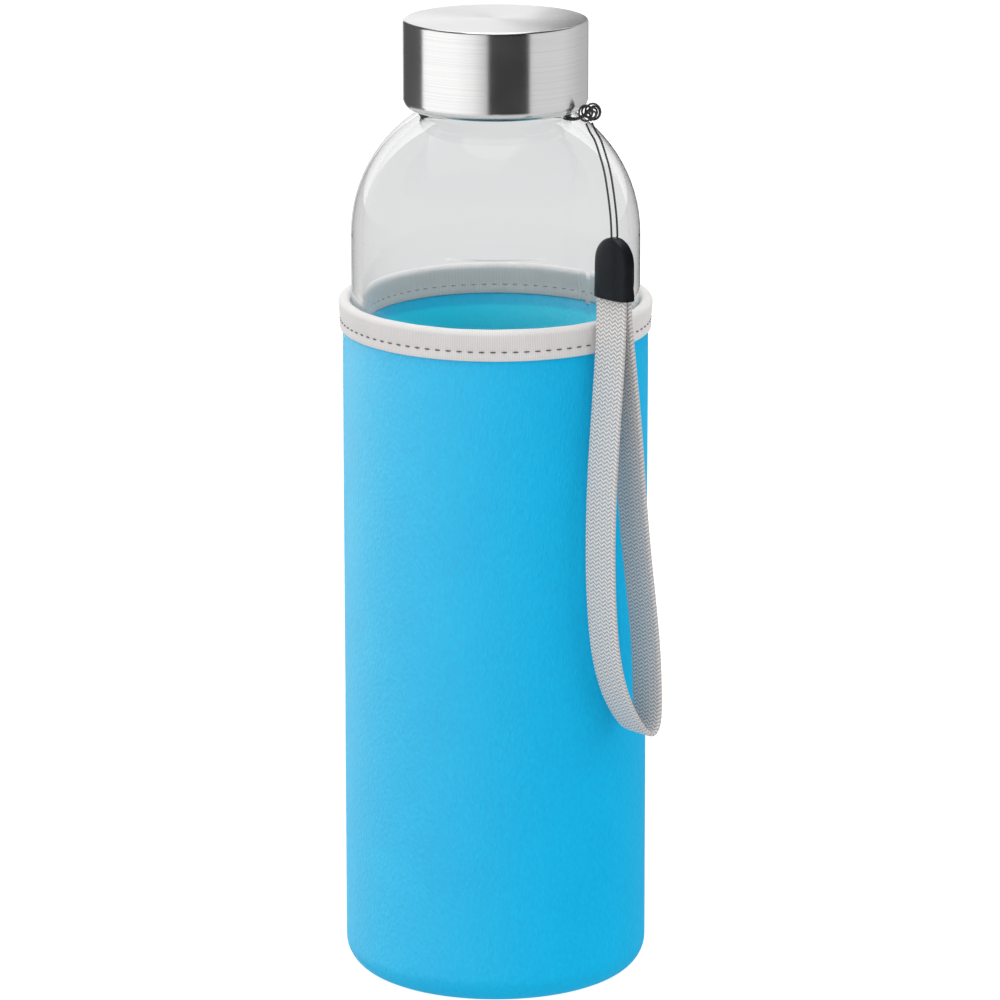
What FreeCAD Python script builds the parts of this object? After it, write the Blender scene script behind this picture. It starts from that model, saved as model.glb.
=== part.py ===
import FreeCAD, Part
import math
import os
from FreeCAD import Vector

# A glass water bottle: screw cap, neoprene sleeve with a bound rim, and a wrist strap hitched to the neck.
# Millimetres. +Z is up, the origin is the middle of the sleeve's underside, and the strap hangs at +X.

# Bottle glass
glass_radius = 32.4
shoulder_height = 171.5
glass_wall = 2.4
glass_base = 5.0
heel_radius = 6.5
inner_heel_step = 0.5
punt_radius = 22.0
punt_depth = 1.6
punt_turn = (0.6, 0.75)  # shares of the punt's radius and depth that its arc passes through
neck_radius = 17.1
bore_radius = 14.5
neck_length = 16.74
neck_fillet = 0.8
bore_fillet = 3.0
fillet_midway = 0.6
mouth_round = 0.6

# Screw thread, right-handed, shared by the neck and the cap
thread_pitch = 4.2
thread_depth = 1.2
thread_root_width = 2.0
thread_crest_width = 0.9
thread_turns = 2
thread_below_mouth = 12.2
thread_radial_gap = 0.3
thread_axial_gap = 0.2
thread_bury = 0.3
neck_thread_angle = 35.0
liner_thread_lead = 200.0

# Cap
cap_steel = 0.5
cap_top_round = 0.75
cap_lip_clearance = 0.2
cap_lip_step = 0.15
cap_lip_gap = 0.44
liner_gap = 0.05
liner_wall = 1.5
liner_top = 1.5
liner_skirt_gap = 1.6
gasket_thickness = 1.5
gasket_width = 5.6
gasket_gap = 0.06

# Sleeve
sleeve_gap = 0.3
neoprene = 1.7
sleeve_corner = 6.6
sole_radius = 27.0
sole_proud = 0.35
sole_edge_round = 0.3
seam_gap = 0.1
seat_gap = 0.05
seam_angle = 140.0
seam_groove = 0.4

# Knitted binding round the sleeve's rim
rim_below_shoulder = 14.9
binding_height = 7.0
binding_fold = 0.55
binding_clearance = 0.05
binding_roll = 1.3
binding_bulge = 0.3
binding_inner_recess = 0.2
binding_inner_squeeze = 0.1
wall_below_roll = 1.8
rim_taper = 1.0
roll_above_stitches = 0.5

# Sewing
stitch_pitch = 2.5
stitch_length = 1.35
stitch_width = 0.34
stitch_height = 0.25
stitch_above_edge = 2.1
stitch_edge_round = 0.35  # share of a stitch's height
zigzag_pitch = 3.0
zigzag_width = 3.2
zigzag_margin = 3.0
sole_stitch_pitch = 2.6
sole_stitch_length = 1.5
sole_stitch_gap = 0.05

# Strap cord and its hitch
cord_diameter = 0.5
neck_turn_gap = 0.2
neck_turn_rise = 0.45
neck_turn_pitch = 0.65
knot_angle = 25.0
knot_reach = 2.1
knot_ring = 1.85
knot_rise = 1.0
knot_ring_spacing = 1.9
knot_turn_angle = 10.0
lead_from_neck = 1.5
lead_rise = 0.3
lead_past_ring = 0.6
lead_spacing = 0.9
strand_spacing = 1.7
strand_bore_gap = 0.1
strap_stand_off = 6.0

# Strap clamp and webbing
clamp_half_width = 5.55
clamp_half_depth = 2.4
clamp_height = 13.5
clamp_taper = 0.1
clamp_dome = 5.6
clamp_oval = 0.714  # 1 is an ellipse, and less is fuller
clamp_oval_points = 24
clamp_wall_shares = (0.0, 0.2, 0.4, 0.6, 0.8, 1.0)
clamp_dome_degrees = (14, 28, 42, 56, 68, 78)
clamp_dome_roundness = 0.95
webbing_width = 9.5
webbing_thickness = 1.2
webbing_layer_gap = 0.1
webbing_tuck = 6.0
webbing_slot_gap = 0.08
cut_past = 1.0
corner_share = 0.45  # share of a cord's shorter run that each corner's arc takes

# Middle line of the two strands, from the swing pivot down into the clamp. Its sideways reach is stretched or
# shortened to hold the clamp's middle strap_stand_off away from the binding.
strand_route = [
    (0.0, 0.0, 0.0),
    (0.9, 0.1, -1.6),
    (3.0, -0.1, -3.1),
    (6.1, -1.7, -5.0),
    (10.6, -3.9, -8.4),
    (14.0, -5.9, -12.2),
    (16.6, -7.4, -16.1),
    (17.9, -8.2, -19.0),
    (18.3, -8.4, -21.8),
    (18.3, -8.45, -24.6),
]
swing_pivot_from_knot = (2.08, -1.71, -0.96)

# Webbing loop beside the clamp's middle: sideways place and height above the clamp's lower face.
# It starts at the front layer and comes back up as the rear layer.
webbing_route = [
    (-0.65, 6.0),
    (-0.68, 0.2),
    (-0.9, -9.5),
    (-1.9, -23.0),
    (-3.3, -40.0),
    (-3.8, -58.0),
    (-3.1, -72.5),
    (-1.7, -82.5),
    (0.7, -90.0),
    (3.6, -95.4),
    (6.4, -99.0),
    (8.4, -100.5),
    (10.1, -98.6),
    (10.5, -95.0),
    (10.4, -89.5),
    (9.9, -80.5),
    (8.6, -70.0),
    (6.9, -58.0),
    (5.4, -45.0),
    (4.1, -30.0),
    (2.3, -15.5),
    (0.85, -4.5),
    (0.67, 0.2),
    (0.65, 4.7),
]

# Heights and radii that follow from the sizes above
rim_height = shoulder_height - rim_below_shoulder
sole_thickness = sole_proud + neoprene
glass_foot = sole_thickness + seat_gap
neck_fillet_height = shoulder_height + math.sqrt(
    (glass_radius + neck_fillet) ** 2 - (neck_radius + neck_fillet) ** 2)
mouth_height = neck_fillet_height + neck_length
liner_root = neck_radius + thread_depth + thread_radial_gap
liner_crest = neck_radius + thread_radial_gap
liner_radius = liner_root + liner_wall
cap_radius = liner_radius + liner_gap + cap_steel
cap_lip_roll = cap_radius - cap_lip_step - neck_radius - thread_depth - cap_lip_clearance
cap_lip_height = neck_fillet_height + cap_lip_gap
cap_skirt_height = cap_lip_height + cap_lip_roll
gasket_bottom = mouth_height + gasket_gap
liner_ceiling = gasket_bottom + gasket_thickness + gasket_gap
cap_height = liner_ceiling + liner_top + liner_gap + cap_steel
liner_skirt = cap_skirt_height + liner_skirt_gap
sleeve_inner = glass_radius + sleeve_gap
sleeve_outer = sleeve_inner + neoprene
wall_top = rim_height - wall_below_roll
binding_bottom = rim_height - binding_height
binding_outer = sleeve_outer + binding_clearance + binding_fold
binding_inner = sleeve_inner + binding_inner_recess
rim_inner = binding_inner + binding_fold - binding_inner_squeeze
stitch_line = binding_bottom + stitch_above_edge
cord_radius = cord_diameter / 2
knot_centre = Vector(cap_radius + knot_reach, 0, neck_fillet_height + knot_rise)


def path_edges(start, steps):
    """Edges from a start point: a step is an end point, or a point on an arc and the arc's end."""
    edges = []
    here = Vector(*start)
    for step in steps:
        if isinstance(step[0], tuple):
            through, end = Vector(*step[0]), Vector(*step[1])
            edges.append(Part.Arc(here, through, end).toShape())
        else:
            end = Vector(*step)
            edges.append(Part.LineSegment(here, end).toShape())
        here = end
    return edges


def revolved(outline):
    """Solid of revolution about Z from a closed outline of (radius, height) points and arcs."""
    def lift(item):
        if isinstance(item[0], tuple):
            return tuple(lift(point) for point in item)
        return (item[0], 0, item[1])
    lifted = [lift(item) for item in outline]
    edges = path_edges(lifted[0], lifted[1:] + lifted[:1])
    face = Part.Face(Part.Wire(edges))
    return face.revolve(Vector(0, 0, 0), Vector(0, 0, 1), 360)


def on_circle(centre, radius, degrees):
    """Point of a circle in the (radius, height) plane."""
    turn = math.radians(degrees)
    return (centre[0] + radius * math.cos(turn), centre[1] + radius * math.sin(turn))


def placed(shape, degrees=0.0, height=0.0):
    """Copy of a shape turned about Z and raised."""
    copy = shape.copy()
    copy.rotate(Vector(0, 0, 0), Vector(0, 0, 1), degrees)
    copy.translate(Vector(0, 0, height))
    return copy


def thread_ridge(root_radius, crest_radius, start_angle, start_height):
    """Helical ridge with a trapezoid section, from its root surface to its crest."""
    inward = crest_radius < root_radius
    buried = root_radius + thread_bury if inward else root_radius - thread_bury
    half_root, half_crest = thread_root_width / 2, thread_crest_width / 2
    section = Part.makePolygon([
        Vector(buried, 0, -half_root),
        Vector(root_radius, 0, -half_root),
        Vector(crest_radius, 0, -half_crest),
        Vector(crest_radius, 0, half_crest),
        Vector(root_radius, 0, half_root),
        Vector(buried, 0, half_root),
        Vector(buried, 0, -half_root),
    ])
    helix = Part.makeHelix(thread_pitch, thread_pitch * thread_turns, root_radius)
    pipe = Part.BRepOffsetAPI.MakePipeShell(Part.Wire(helix.Edges))
    pipe.setFrenetMode(True)
    pipe.add(section, False, False)
    pipe.build()
    pipe.makeSolid()
    return placed(pipe.shape(), start_angle, start_height)


def glass_bottle():
    """Straight wall, hemispherical shoulder and threaded neck, blown in one piece."""
    inner_radius = glass_radius - glass_wall
    dome = (0, shoulder_height)
    heel = (glass_radius - heel_radius, glass_foot + heel_radius)
    inner_heel = heel_radius - inner_heel_step
    inner_floor = glass_foot + glass_base
    inner_corner = (inner_radius - inner_heel, inner_floor + inner_heel)
    neck_corner = (neck_radius + neck_fillet, neck_fillet_height)
    outer_end = math.degrees(math.atan2(neck_fillet_height - shoulder_height, neck_corner[0]))
    bore_height = shoulder_height + math.sqrt(
        (inner_radius + bore_fillet) ** 2 - (bore_radius + bore_fillet) ** 2)
    bore_corner = (bore_radius + bore_fillet, bore_height)
    inner_end = math.degrees(math.atan2(bore_height - shoulder_height, bore_corner[0]))
    mouth_out = (neck_radius - mouth_round, mouth_height - mouth_round)
    mouth_in = (bore_radius + mouth_round, mouth_height - mouth_round)
    punt_middle = (punt_radius * punt_turn[0], glass_foot + punt_depth * punt_turn[1])
    body = revolved([
        (0, glass_foot + punt_depth),
        (punt_middle, (punt_radius, glass_foot)),
        (heel[0], glass_foot),
        (on_circle(heel, heel_radius, -45), on_circle(heel, heel_radius, 0)),
        (glass_radius, shoulder_height),
        (on_circle(dome, glass_radius, outer_end / 2), on_circle(dome, glass_radius, outer_end)),
        (on_circle(neck_corner, neck_fillet, 180 + outer_end * fillet_midway),
         (neck_radius, neck_fillet_height)),
        (neck_radius, mouth_out[1]),
        (on_circle(mouth_out, mouth_round, 45), on_circle(mouth_out, mouth_round, 90)),
        (mouth_in[0], mouth_height),
        (on_circle(mouth_in, mouth_round, 135), on_circle(mouth_in, mouth_round, 180)),
        (bore_radius, bore_height),
        (on_circle(bore_corner, bore_fillet, 180 + inner_end * fillet_midway),
         on_circle(dome, inner_radius, inner_end)),
        (on_circle(dome, inner_radius, inner_end / 2), (inner_radius, shoulder_height)),
        (inner_radius, inner_corner[1]),
        (on_circle(inner_corner, inner_heel, -45), (inner_corner[0], inner_floor)),
        (0, inner_floor),
    ])
    ridge = thread_ridge(neck_radius, neck_radius + thread_depth, neck_thread_angle,
                         mouth_height - thread_below_mouth)
    return body.fuse(ridge).removeSplitter()


def cap_shell():
    """Deep-drawn steel cup with a rounded top edge and a lower edge rolled in under the liner."""
    top_corner = (cap_radius - cap_top_round, cap_height - cap_top_round)
    inner_round = cap_top_round - cap_steel
    lip_radius = cap_radius - cap_lip_step
    roll = (lip_radius - cap_lip_roll, cap_skirt_height)
    inner_wall = cap_radius - cap_steel
    return revolved([
        (0, cap_height),
        (top_corner[0], cap_height),
        (on_circle(top_corner, cap_top_round, 45), on_circle(top_corner, cap_top_round, 0)),
        (cap_radius, cap_skirt_height),
        (lip_radius, cap_skirt_height),
        (on_circle(roll, cap_lip_roll, -45), on_circle(roll, cap_lip_roll, -90)),
        (roll[0], cap_lip_height + cap_steel),
        (on_circle(roll, cap_lip_roll - cap_steel, -45), (lip_radius - cap_steel, cap_skirt_height)),
        (inner_wall, cap_skirt_height + cap_lip_step),
        (inner_wall, top_corner[1]),
        (on_circle(top_corner, inner_round, 45), on_circle(top_corner, inner_round, 90)),
        (0, cap_height - cap_steel),
    ])


def cap_liner():
    """Moulded insert pressed into the steel cup: it carries the cap's thread and holds the gasket."""
    ceiling = cap_height - cap_steel - liner_gap
    corner = (liner_radius - cap_top_round, ceiling - cap_top_round)
    cup = revolved([
        (0, ceiling),
        (corner[0], ceiling),
        (on_circle(corner, cap_top_round, 45), on_circle(corner, cap_top_round, 0)),
        (liner_radius, liner_skirt),
        (liner_root, liner_skirt),
        (liner_root, liner_ceiling),
        (0, liner_ceiling),
    ])
    drop = (thread_root_width + thread_crest_width) / 2 + thread_axial_gap
    start = mouth_height - thread_below_mouth - drop + thread_pitch * liner_thread_lead / 360
    ridge = thread_ridge(liner_root, liner_crest, neck_thread_angle + liner_thread_lead, start)
    return cup.fuse(ridge).removeSplitter()


def cap_gasket():
    """Silicone ring between the glass mouth and the liner's ceiling."""
    ring_radius = liner_root - thread_radial_gap
    return revolved([
        (ring_radius, gasket_bottom),
        (ring_radius, gasket_bottom + gasket_thickness),
        (ring_radius - gasket_width, gasket_bottom + gasket_thickness),
        (ring_radius - gasket_width, gasket_bottom),
    ])


def sleeve_wall():
    """Neoprene tube turned in at the bottom and thinned at the rim under the binding, butted at one seam."""
    turn_in = sole_radius + seam_gap
    corner = (sleeve_outer - sleeve_corner, sole_proud + sleeve_corner)
    inner_corner = sleeve_corner - neoprene
    tube = revolved([
        (turn_in, sole_proud),
        (corner[0], sole_proud),
        (on_circle(corner, sleeve_corner, -45), on_circle(corner, sleeve_corner, 0)),
        (sleeve_outer, wall_top),
        (rim_inner, wall_top),
        (rim_inner, binding_bottom - rim_taper),
        (sleeve_inner, binding_bottom - 2 * rim_taper),
        (sleeve_inner, corner[1]),
        (on_circle(corner, inner_corner, -45), (corner[0], sole_proud + neoprene)),
        (turn_in, sole_proud + neoprene),
    ])
    groove_height = binding_bottom - zigzag_margin - corner[1]
    groove = Part.makeBox(seam_groove * 2, seam_groove, groove_height,
                          Vector(sleeve_outer - seam_groove, -seam_groove / 2, corner[1]))
    return tube.cut(placed(groove, seam_angle))


def sleeve_sole():
    """Neoprene disc that closes the sleeve and that the bottle stands on."""
    disc = Part.makeCylinder(sole_radius, sole_thickness)
    return disc.makeFillet(sole_edge_round, [disc.Edges[0], disc.Edges[2]])


def sleeve_binding():
    """Knitted tape folded over the rim: a fat roll on top and a flat fold down each side."""
    roll_outer = binding_outer + binding_bulge
    roll_inner = roll_outer - 2 * binding_roll
    roll_height = rim_height - binding_roll
    fold_outer = sleeve_outer + binding_clearance
    fold_inner = rim_inner - binding_clearance
    return revolved([
        (fold_outer, binding_bottom),
        (binding_outer, binding_bottom),
        (binding_outer, stitch_line + roll_above_stitches),
        (roll_outer, roll_height),
        ((roll_outer - binding_roll, rim_height), (roll_inner, roll_height)),
        (binding_inner, stitch_line + roll_above_stitches),
        (binding_inner, binding_bottom),
        (fold_inner, binding_bottom),
        (fold_inner, wall_top + binding_clearance),
        (fold_outer, wall_top + binding_clearance),
    ])


def thread_bar(length, width, height):
    """One stitch: a short rounded bar lying along Y on a surface that faces +X."""
    bar = Part.makeBox(height, length, width, Vector(0, -length / 2, -width / 2))
    return bar.makeFillet(height * stitch_edge_round, bar.Edges)


def ring_of_stitches(radius, height, pitch):
    """Running stitches end to end round the sleeve."""
    count = round(2 * math.pi * radius / pitch)
    bar = thread_bar(stitch_length, stitch_width, stitch_height)
    bar.translate(Vector(radius, 0, 0))
    return Part.makeCompound([placed(bar, 360 * turn / count, height) for turn in range(count)])


def side_seam_stitches():
    """Zigzag that closes the wall's butted seam."""
    low = sole_proud + sleeve_corner + zigzag_margin
    high = binding_bottom - zigzag_margin
    count = int((high - low) / zigzag_pitch)
    rise = zigzag_pitch - stitch_width
    length = math.hypot(zigzag_width, rise)
    bars = []
    for number in range(count):
        bar = thread_bar(length, stitch_width, stitch_height)
        tilt = math.degrees(math.atan2(rise, zigzag_width))
        bar.rotate(Vector(0, 0, 0), Vector(1, 0, 0), tilt if number % 2 else -tilt)
        bar.translate(Vector(sleeve_outer + binding_clearance, 0, 0))
        bars.append(placed(bar, seam_angle, low + (number + 0.5) * zigzag_pitch))
    return Part.makeCompound(bars)


def sole_seam_stitches():
    """Short stitches across the seam between the wall's turned-in edge and the sole."""
    count = round(2 * math.pi * sole_radius / sole_stitch_pitch)
    thickness = sole_proud - 2 * sole_stitch_gap
    inner = sole_radius + seam_gap
    corner = Vector(inner, -stitch_width / 2, sole_stitch_gap)
    bar = Part.makeBox(sole_stitch_length, stitch_width, thickness, corner)
    return Part.makeCompound([placed(bar, 360 * turn / count) for turn in range(count)])


def neck_cord():
    """The doubled cord's two turns, one above the other round the foot of the neck, inside the cap's lip."""
    turn_radius = neck_radius + neck_turn_gap + cord_radius
    turns = []
    for number in range(2):
        torus = Part.makeTorus(turn_radius, cord_radius)
        torus.translate(Vector(0, 0, neck_fillet_height + neck_turn_rise + number * neck_turn_pitch))
        turns.append(torus)
    return Part.makeCompound(turns)


def cord_hitch():
    """Two leads that come from the neck turns under the cap's lip, and the hitch's two turns round them."""
    lead_start = neck_radius + lead_from_neck
    lead_height = knot_centre.z - knot_ring + lead_rise
    lead_length = knot_centre.x + knot_ring_spacing / 2 + lead_past_ring - lead_start
    solids = []
    for side in (-1, 1):
        start = Vector(lead_start, side * lead_spacing / 2, lead_height)
        solids.append(Part.makeCylinder(cord_radius, lead_length, start, Vector(1, 0, 0)))
    for side in (-1, 1):
        centre = knot_centre + Vector(side * knot_ring_spacing / 2, 0, 0)
        torus = Part.makeTorus(knot_ring, cord_radius, centre, Vector(1, 0, 0))
        torus.rotate(centre, Vector(0, 0, 1), knot_turn_angle - knot_angle)
        solids.append(torus)
    knot = solids[0].fuse(solids[1:])
    return placed(knot, knot_angle)


def cord_path(points, name):
    """Wire of straight runs and tangent arcs through a cord's points; prints every arc's radius."""
    corners = [Vector(*point) for point in points]
    edges = []
    radii = []
    here = corners[0]
    for before, corner, after in zip(corners, corners[1:], corners[2:]):
        arrive = corner - before
        leave = after - corner
        reach = corner_share * min(arrive.Length, leave.Length)
        turn = arrive.getAngle(leave)
        radius = reach / math.tan(turn / 2)
        arrive.normalize()
        leave.normalize()
        start = corner - arrive * reach
        end = corner + leave * reach
        inward = leave - arrive
        inward.normalize()
        middle = corner + inward * (radius / math.cos(turn / 2) - radius)
        edges.append(Part.LineSegment(here, start).toShape())
        edges.append(Part.Arc(start, middle, end).toShape())
        radii.append(round(radius, 1))
        here = end
    edges.append(Part.LineSegment(here, corners[-1]).toShape())
    wire = Part.Wire(edges)
    print(name, "length", round(wire.Length, 1), "arc radii", radii)
    return wire


def swept(path, section, area, name, flat_side=None):
    """Solid of one section carried along a cord's path, with its volume compared with area times length."""
    pipe = Part.BRepOffsetAPI.MakePipeShell(path)
    if flat_side:
        pipe.setBiNormalMode(flat_side)
    else:
        pipe.setFrenetMode(False)
    pipe.add(section, False, False)
    pipe.build()
    pipe.makeSolid()
    solid = pipe.shape()
    print(name, "volume ratio", round(solid.Volume / (area * path.Length), 4))
    return solid


def swing_pivot():
    """Where the two strands leave the hitch, which is where the strap swings."""
    turn = math.radians(knot_angle)
    knot_place = Vector(knot_centre.x * math.cos(turn), knot_centre.x * math.sin(turn), neck_fillet_height)
    return knot_place + Vector(*swing_pivot_from_knot)


def strand_offsets():
    """Places along the strands' middle line, from the swing pivot."""
    reach = binding_outer + strap_stand_off - swing_pivot().x
    stretch = reach / strand_route[-1][0]
    return [Vector(out * stretch, side, up) for out, side, up in strand_route]


def clamp_place():
    """Middle of the clamp's lower face: the strands' last point is inside the clamp's domed top."""
    top = swing_pivot() + strand_offsets()[-2]
    return Vector(top.x, top.y, top.z - clamp_height)


def cord_strand(side, name):
    """One of the two strands from the hitch to the clamp."""
    start = swing_pivot() + Vector(0, side * strand_spacing / 2, 0)
    points = [start + offset for offset in strand_offsets()]
    path = cord_path([tuple(point) for point in points], name)
    section = Part.Wire(Part.makeCircle(cord_radius, points[0], points[1] - points[0]))
    return swept(path, section, math.pi * cord_radius ** 2, name)


def smooth_oval(half_width, half_depth, height):
    """Closed smooth wire, fuller than an ellipse."""
    points = []
    for number in range(clamp_oval_points):
        turn = math.tau * number / clamp_oval_points
        across, out = math.cos(turn), math.sin(turn)
        points.append(Vector(math.copysign(half_width * abs(across) ** clamp_oval, across),
                             math.copysign(half_depth * abs(out) ** clamp_oval, out), height))
    curve = Part.BSplineCurve()
    curve.interpolate(Points=points, PeriodicFlag=True)
    return Part.Wire(curve.toShape())


def strap_clamp():
    """Bullet-shaped moulding that grips both webbing ends in a slot and both cord ends in two bores."""
    straight_height = clamp_height - clamp_dome
    sections = []
    for share in clamp_wall_shares:
        inset = clamp_taper * share
        sections.append(smooth_oval(clamp_half_width - inset, clamp_half_depth - inset,
                                    straight_height * share))
    for degrees in clamp_dome_degrees:
        turn = math.radians(degrees)
        width = (clamp_half_width - clamp_taper) * math.cos(turn)
        depth = min((clamp_half_depth - clamp_taper) * math.sqrt(math.cos(turn)),
                    width * clamp_dome_roundness)
        sections.append(smooth_oval(width, depth, straight_height + clamp_dome * math.sin(turn)))
    moulding = Part.makeLoft(sections, True, False)
    slot_width = webbing_width + 2 * webbing_slot_gap
    slot_depth = 2 * (webbing_thickness + webbing_slot_gap) + webbing_layer_gap
    slot = Part.makeBox(slot_width, slot_depth, webbing_tuck + webbing_slot_gap + cut_past,
                        Vector(-slot_width / 2, -slot_depth / 2, -cut_past))
    bore_depth = clamp_height + strand_route[-1][2] - strand_route[-2][2] - strand_bore_gap
    bores = []
    for side in (-1, 1):
        foot = Vector(0, side * strand_spacing / 2, bore_depth)
        bores.append(Part.makeCylinder(cord_radius + strand_bore_gap, clamp_height, foot))
    body = moulding.cut([slot] + bores)
    body.translate(clamp_place())
    return body


def strap_webbing():
    """Flat braided webbing folded into a hand loop, its width standing out from the sleeve."""
    place = clamp_place()
    points = [(place.x, place.y + across, place.z + up) for across, up in webbing_route]
    path = cord_path(points, "strap_webbing")
    half_width, half_thickness = webbing_width / 2, webbing_thickness / 2
    first = Vector(*points[0])
    corners = [(-1, -1), (1, -1), (1, 1), (-1, 1), (-1, -1)]
    section = Part.makePolygon([first + Vector(across * half_width, out * half_thickness, 0)
                                for across, out in corners])
    area = webbing_width * webbing_thickness
    return swept(path, section, area, "strap_webbing", Vector(1, 0, 0))


sub_parts = {
    "glass_bottle": glass_bottle(),
    "cap_shell": cap_shell(),
    "cap_liner": cap_liner(),
    "cap_gasket": cap_gasket(),
    "sleeve_wall": sleeve_wall(),
    "sleeve_sole": sleeve_sole(),
    "sleeve_binding": sleeve_binding(),
    "binding_outer_stitches": ring_of_stitches(binding_outer, stitch_line, stitch_pitch),
    "binding_inner_stitches": ring_of_stitches(binding_inner - stitch_height, stitch_line, stitch_pitch),
    "side_seam_stitches": side_seam_stitches(),
    "sole_seam_stitches": sole_seam_stitches(),
    "neck_cord": neck_cord(),
    "cord_hitch": cord_hitch(),
    "cord_strand_left": cord_strand(-1, "cord_strand_left"),
    "cord_strand_right": cord_strand(1, "cord_strand_right"),
    "strap_clamp": strap_clamp(),
    "strap_webbing": strap_webbing(),
}

os.makedirs("parts", exist_ok=True)
for name, shape in sub_parts.items():
    shape.exportStep(f"parts/{name}.step")
    print(name, "valid", shape.isValid(), "solids", len(shape.Solids), "volume", round(shape.Volume, 1))
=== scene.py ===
import math
import random

import bmesh
import bpy
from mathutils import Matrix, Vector


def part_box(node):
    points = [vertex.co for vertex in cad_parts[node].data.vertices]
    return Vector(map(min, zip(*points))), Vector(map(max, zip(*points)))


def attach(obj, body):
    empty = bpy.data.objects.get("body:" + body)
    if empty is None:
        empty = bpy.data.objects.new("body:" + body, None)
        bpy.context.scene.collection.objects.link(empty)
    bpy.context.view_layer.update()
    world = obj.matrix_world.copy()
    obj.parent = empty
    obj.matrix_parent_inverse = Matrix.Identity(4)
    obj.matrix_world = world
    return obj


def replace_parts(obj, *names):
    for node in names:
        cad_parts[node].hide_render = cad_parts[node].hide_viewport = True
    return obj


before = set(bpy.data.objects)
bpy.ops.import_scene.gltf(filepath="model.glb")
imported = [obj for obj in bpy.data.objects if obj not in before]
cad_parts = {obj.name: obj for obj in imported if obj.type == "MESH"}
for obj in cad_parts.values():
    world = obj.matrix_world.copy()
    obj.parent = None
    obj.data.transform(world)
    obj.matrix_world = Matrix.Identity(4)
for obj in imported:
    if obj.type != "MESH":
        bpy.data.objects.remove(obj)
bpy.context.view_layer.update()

# ---- Camera
# The bottle stands upright and is looked down on slightly, with its hanging strap in front on the right.
camera_azimuth = math.radians(50)
camera_pitch = math.radians(14.14)


def studio_place(right, toward, up):
    """Point given as distances to the camera's right, towards the camera and up from the bottle's foot."""
    across = Vector((math.cos(camera_azimuth), math.sin(camera_azimuth), 0))
    near = Vector((math.sin(camera_azimuth), -math.cos(camera_azimuth), 0))
    return across * right + near * toward + Vector((0, 0, up))


camera = bpy.data.objects.new("camera", bpy.data.cameras.new("camera"))
bpy.context.collection.objects.link(camera)
camera.data.sensor_width = 36
camera.data.lens = 197.2
camera.data.clip_end = 30
camera.location = studio_place(0.001, 1.204, 0.413)
camera.rotation_euler = (math.pi / 2 - camera_pitch, 0, camera_azimuth)
bpy.context.scene.camera = camera
bpy.context.scene.view_settings.view_transform = "Standard"


# ---- Glass bottle
# Soda-lime glass blown in one piece: thick foot, straight wall, domed shoulder and a threaded neck.
# The outside is fire-polished. The inside keeps a very faint waviness from the mould.
def add_node(tree, kind, inputs=None, **settings):
    """Shader node with its settings, and its inputs set to values or linked to other nodes' outputs."""
    node = tree.nodes.new(kind)
    for name, value in settings.items():
        setattr(node, name, value)
    for socket, value in (inputs or {}).items():
        if isinstance(value, bpy.types.NodeSocket):
            tree.links.new(value, node.inputs[socket])
        else:
            node.inputs[socket].default_value = value
    return node


def new_material(name, colour, **shader_values):
    """Material with one Principled shader: returns the material, its node tree and the shader."""
    material = bpy.data.materials.new(name)
    material.use_nodes = True
    shader = material.node_tree.nodes["Principled BSDF"]
    shader.inputs["Base Color"].default_value = (*colour, 1)
    for socket, value in shader_values.items():
        shader.inputs[socket.replace("_", " ")].default_value = value
    return material, material.node_tree, shader


def colour_ramp(tree, fac, *stops):
    """Colour that runs through (position, colour) stops as a value goes from 0 to 1."""
    ramp = add_node(tree, "ShaderNodeValToRGB", {"Fac": fac})
    elements = ramp.color_ramp.elements
    while len(elements) < len(stops):
        elements.new(0.5)
    for element, (position, colour) in zip(elements, stops):
        element.position = position
        element.color = (*colour, 1)
    return ramp.outputs["Color"]


def finish_node(name, material):
    """Give a CAD node its finished material."""
    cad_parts[name].material_slots[0].material = material


glass_material, tree, shader = new_material("bottle glass", (0.99, 0.993, 0.993), Roughness=0.0, IOR=1.5,
                                            Transmission_Weight=1.0, Specular_IOR_Level=0.1)
place = add_node(tree, "ShaderNodeTexCoord").outputs["Object"]
waves = add_node(tree, "ShaderNodeTexNoise", {"Vector": place, "Scale": 45.0, "Detail": 1.0})
shader.inputs["Specular Tint"].default_value = (0.3, 0.3, 0.3, 1)
wave_bump = add_node(tree, "ShaderNodeBump", {"Height": waves.outputs["Fac"], "Strength": 0.12, "Distance": 0.0002})
tree.links.new(wave_bump.outputs["Normal"], shader.inputs["Normal"])
ray = add_node(tree, "ShaderNodeLightPath")
soft_ray = add_node(tree, "ShaderNodeMath", {0: ray.outputs["Is Diffuse Ray"], 1: ray.outputs["Is Shadow Ray"]},
                    operation="MAXIMUM")
clear = add_node(tree, "ShaderNodeBsdfTransparent", {"Color": (0.995, 0.998, 0.998, 1)})
both = add_node(tree, "ShaderNodeMixShader", {"Fac": soft_ray.outputs["Value"], 1: shader.outputs["BSDF"],
                                              2: clear.outputs["BSDF"]})
tree.links.new(both.outputs["Shader"], tree.nodes["Material Output"].inputs["Surface"])
finish_node("glass_bottle", glass_material)


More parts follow.
